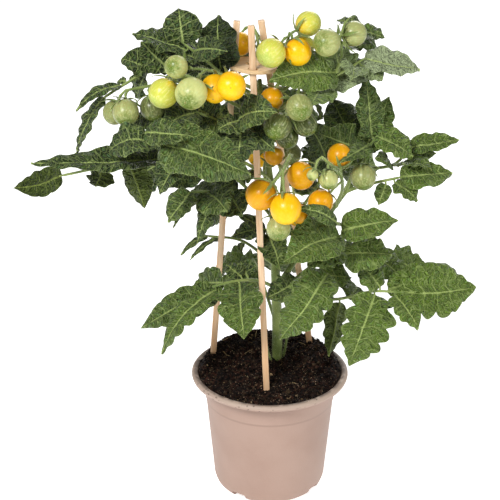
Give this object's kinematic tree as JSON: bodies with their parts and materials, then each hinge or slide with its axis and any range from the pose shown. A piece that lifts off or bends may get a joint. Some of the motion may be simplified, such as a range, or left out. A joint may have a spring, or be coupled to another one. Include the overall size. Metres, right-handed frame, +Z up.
{
  "type": "cherry tomato plant in a pot",
  "caption": "Bushy dwarf cherry tomato plant with ripening fruit in a round plastic grow pot, held up by wooden sticks that meet in a drilled disc.",
  "frame": {"origin": "centre of the underside of the pot, on the surface it stands on", "axes": "+Z up; +Y away from the side the plant is seen from, +X to that side's right"},
  "size_m": [0.3555, 0.2141, 0.4076],
  "materials": {
    "pot": "thin matte pinkish taupe plastic, lightly soiled at the rim",
    "soil": "crumbly dark brown peat",
    "wood": "pale raw wood",
    "stem": "green, slightly ribbed and hairy",
    "leaf": "matte, veined and puckered green",
    "truss": "green stalks, sepals and unripe fruit",
    "fruit_turning": "glossy skin, greenish yellow",
    "fruit_yellow": "glossy skin, golden yellow",
    "fruit_orange": "glossy skin, orange yellow"
  },
  "bodies": {
    "root": {"fruit_back_low": "fruit_yellow", "fruit_back_right": "fruit_turning", "fruit_back_top": "fruit_yellow", "fruit_low_front": "fruit_yellow", "fruit_low_inner": "fruit_orange", "fruit_low_left": "fruit_orange", "fruit_low_rear": "fruit_orange", "fruit_low_under": "fruit_orange", "fruit_right_inner": "fruit_orange", "fruit_right_rear": "fruit_orange", "fruit_top_front": "fruit_turning", "fruit_top_high": "fruit_turning", "fruit_top_left_inner": "fruit_yellow", "fruit_top_left_middle": "fruit_yellow", "fruit_top_left_outer": "fruit_turning", "fruit_top_middle": "fruit_yellow", "fruit_top_rear": "fruit_turning", "fruit_under_disc": "fruit_orange", "leaf_back_centre": "leaf", "leaf_back_left": "leaf", "leaf_back_low": "leaf", "leaf_back_right": "leaf", "leaf_back_upper_left": "leaf", "leaf_centre_low": "leaf", "leaf_centre_upper": "leaf", "leaf_far_left": "leaf", "leaf_left_inner": "leaf", "leaf_left_mid": "leaf", "leaf_left_shoot": "leaf", "leaf_left_small": "leaf", "leaf_left_under": "leaf", "leaf_lower_centre": "leaf", "leaf_lower_left": "leaf", "leaf_lower_right": "leaf", "leaf_over_fruit": "leaf", "leaf_right_low": "leaf", "leaf_right_mid": "leaf", "leaf_right_small": "leaf", "leaf_right_star": "leaf", "leaf_right_upper": "leaf", "leaf_top_back_right": "leaf", "leaf_top_left": "leaf", "leaf_top_right": "leaf", "plant_stem": "stem", "pot": "pot", "soil": "soil", "stick_disc": "wood", "stick_front": "wood", "stick_left": "wood", "stick_right": "wood", "truss_back_low": "truss", "truss_back_top": "truss", "truss_centre": "truss", "truss_left": "truss", "truss_low": "truss", "truss_right": "truss", "truss_right_inner": "truss", "truss_top": "truss", "truss_top_left": "truss", "truss_top_right": "truss"}
  },
  "joints": []
}
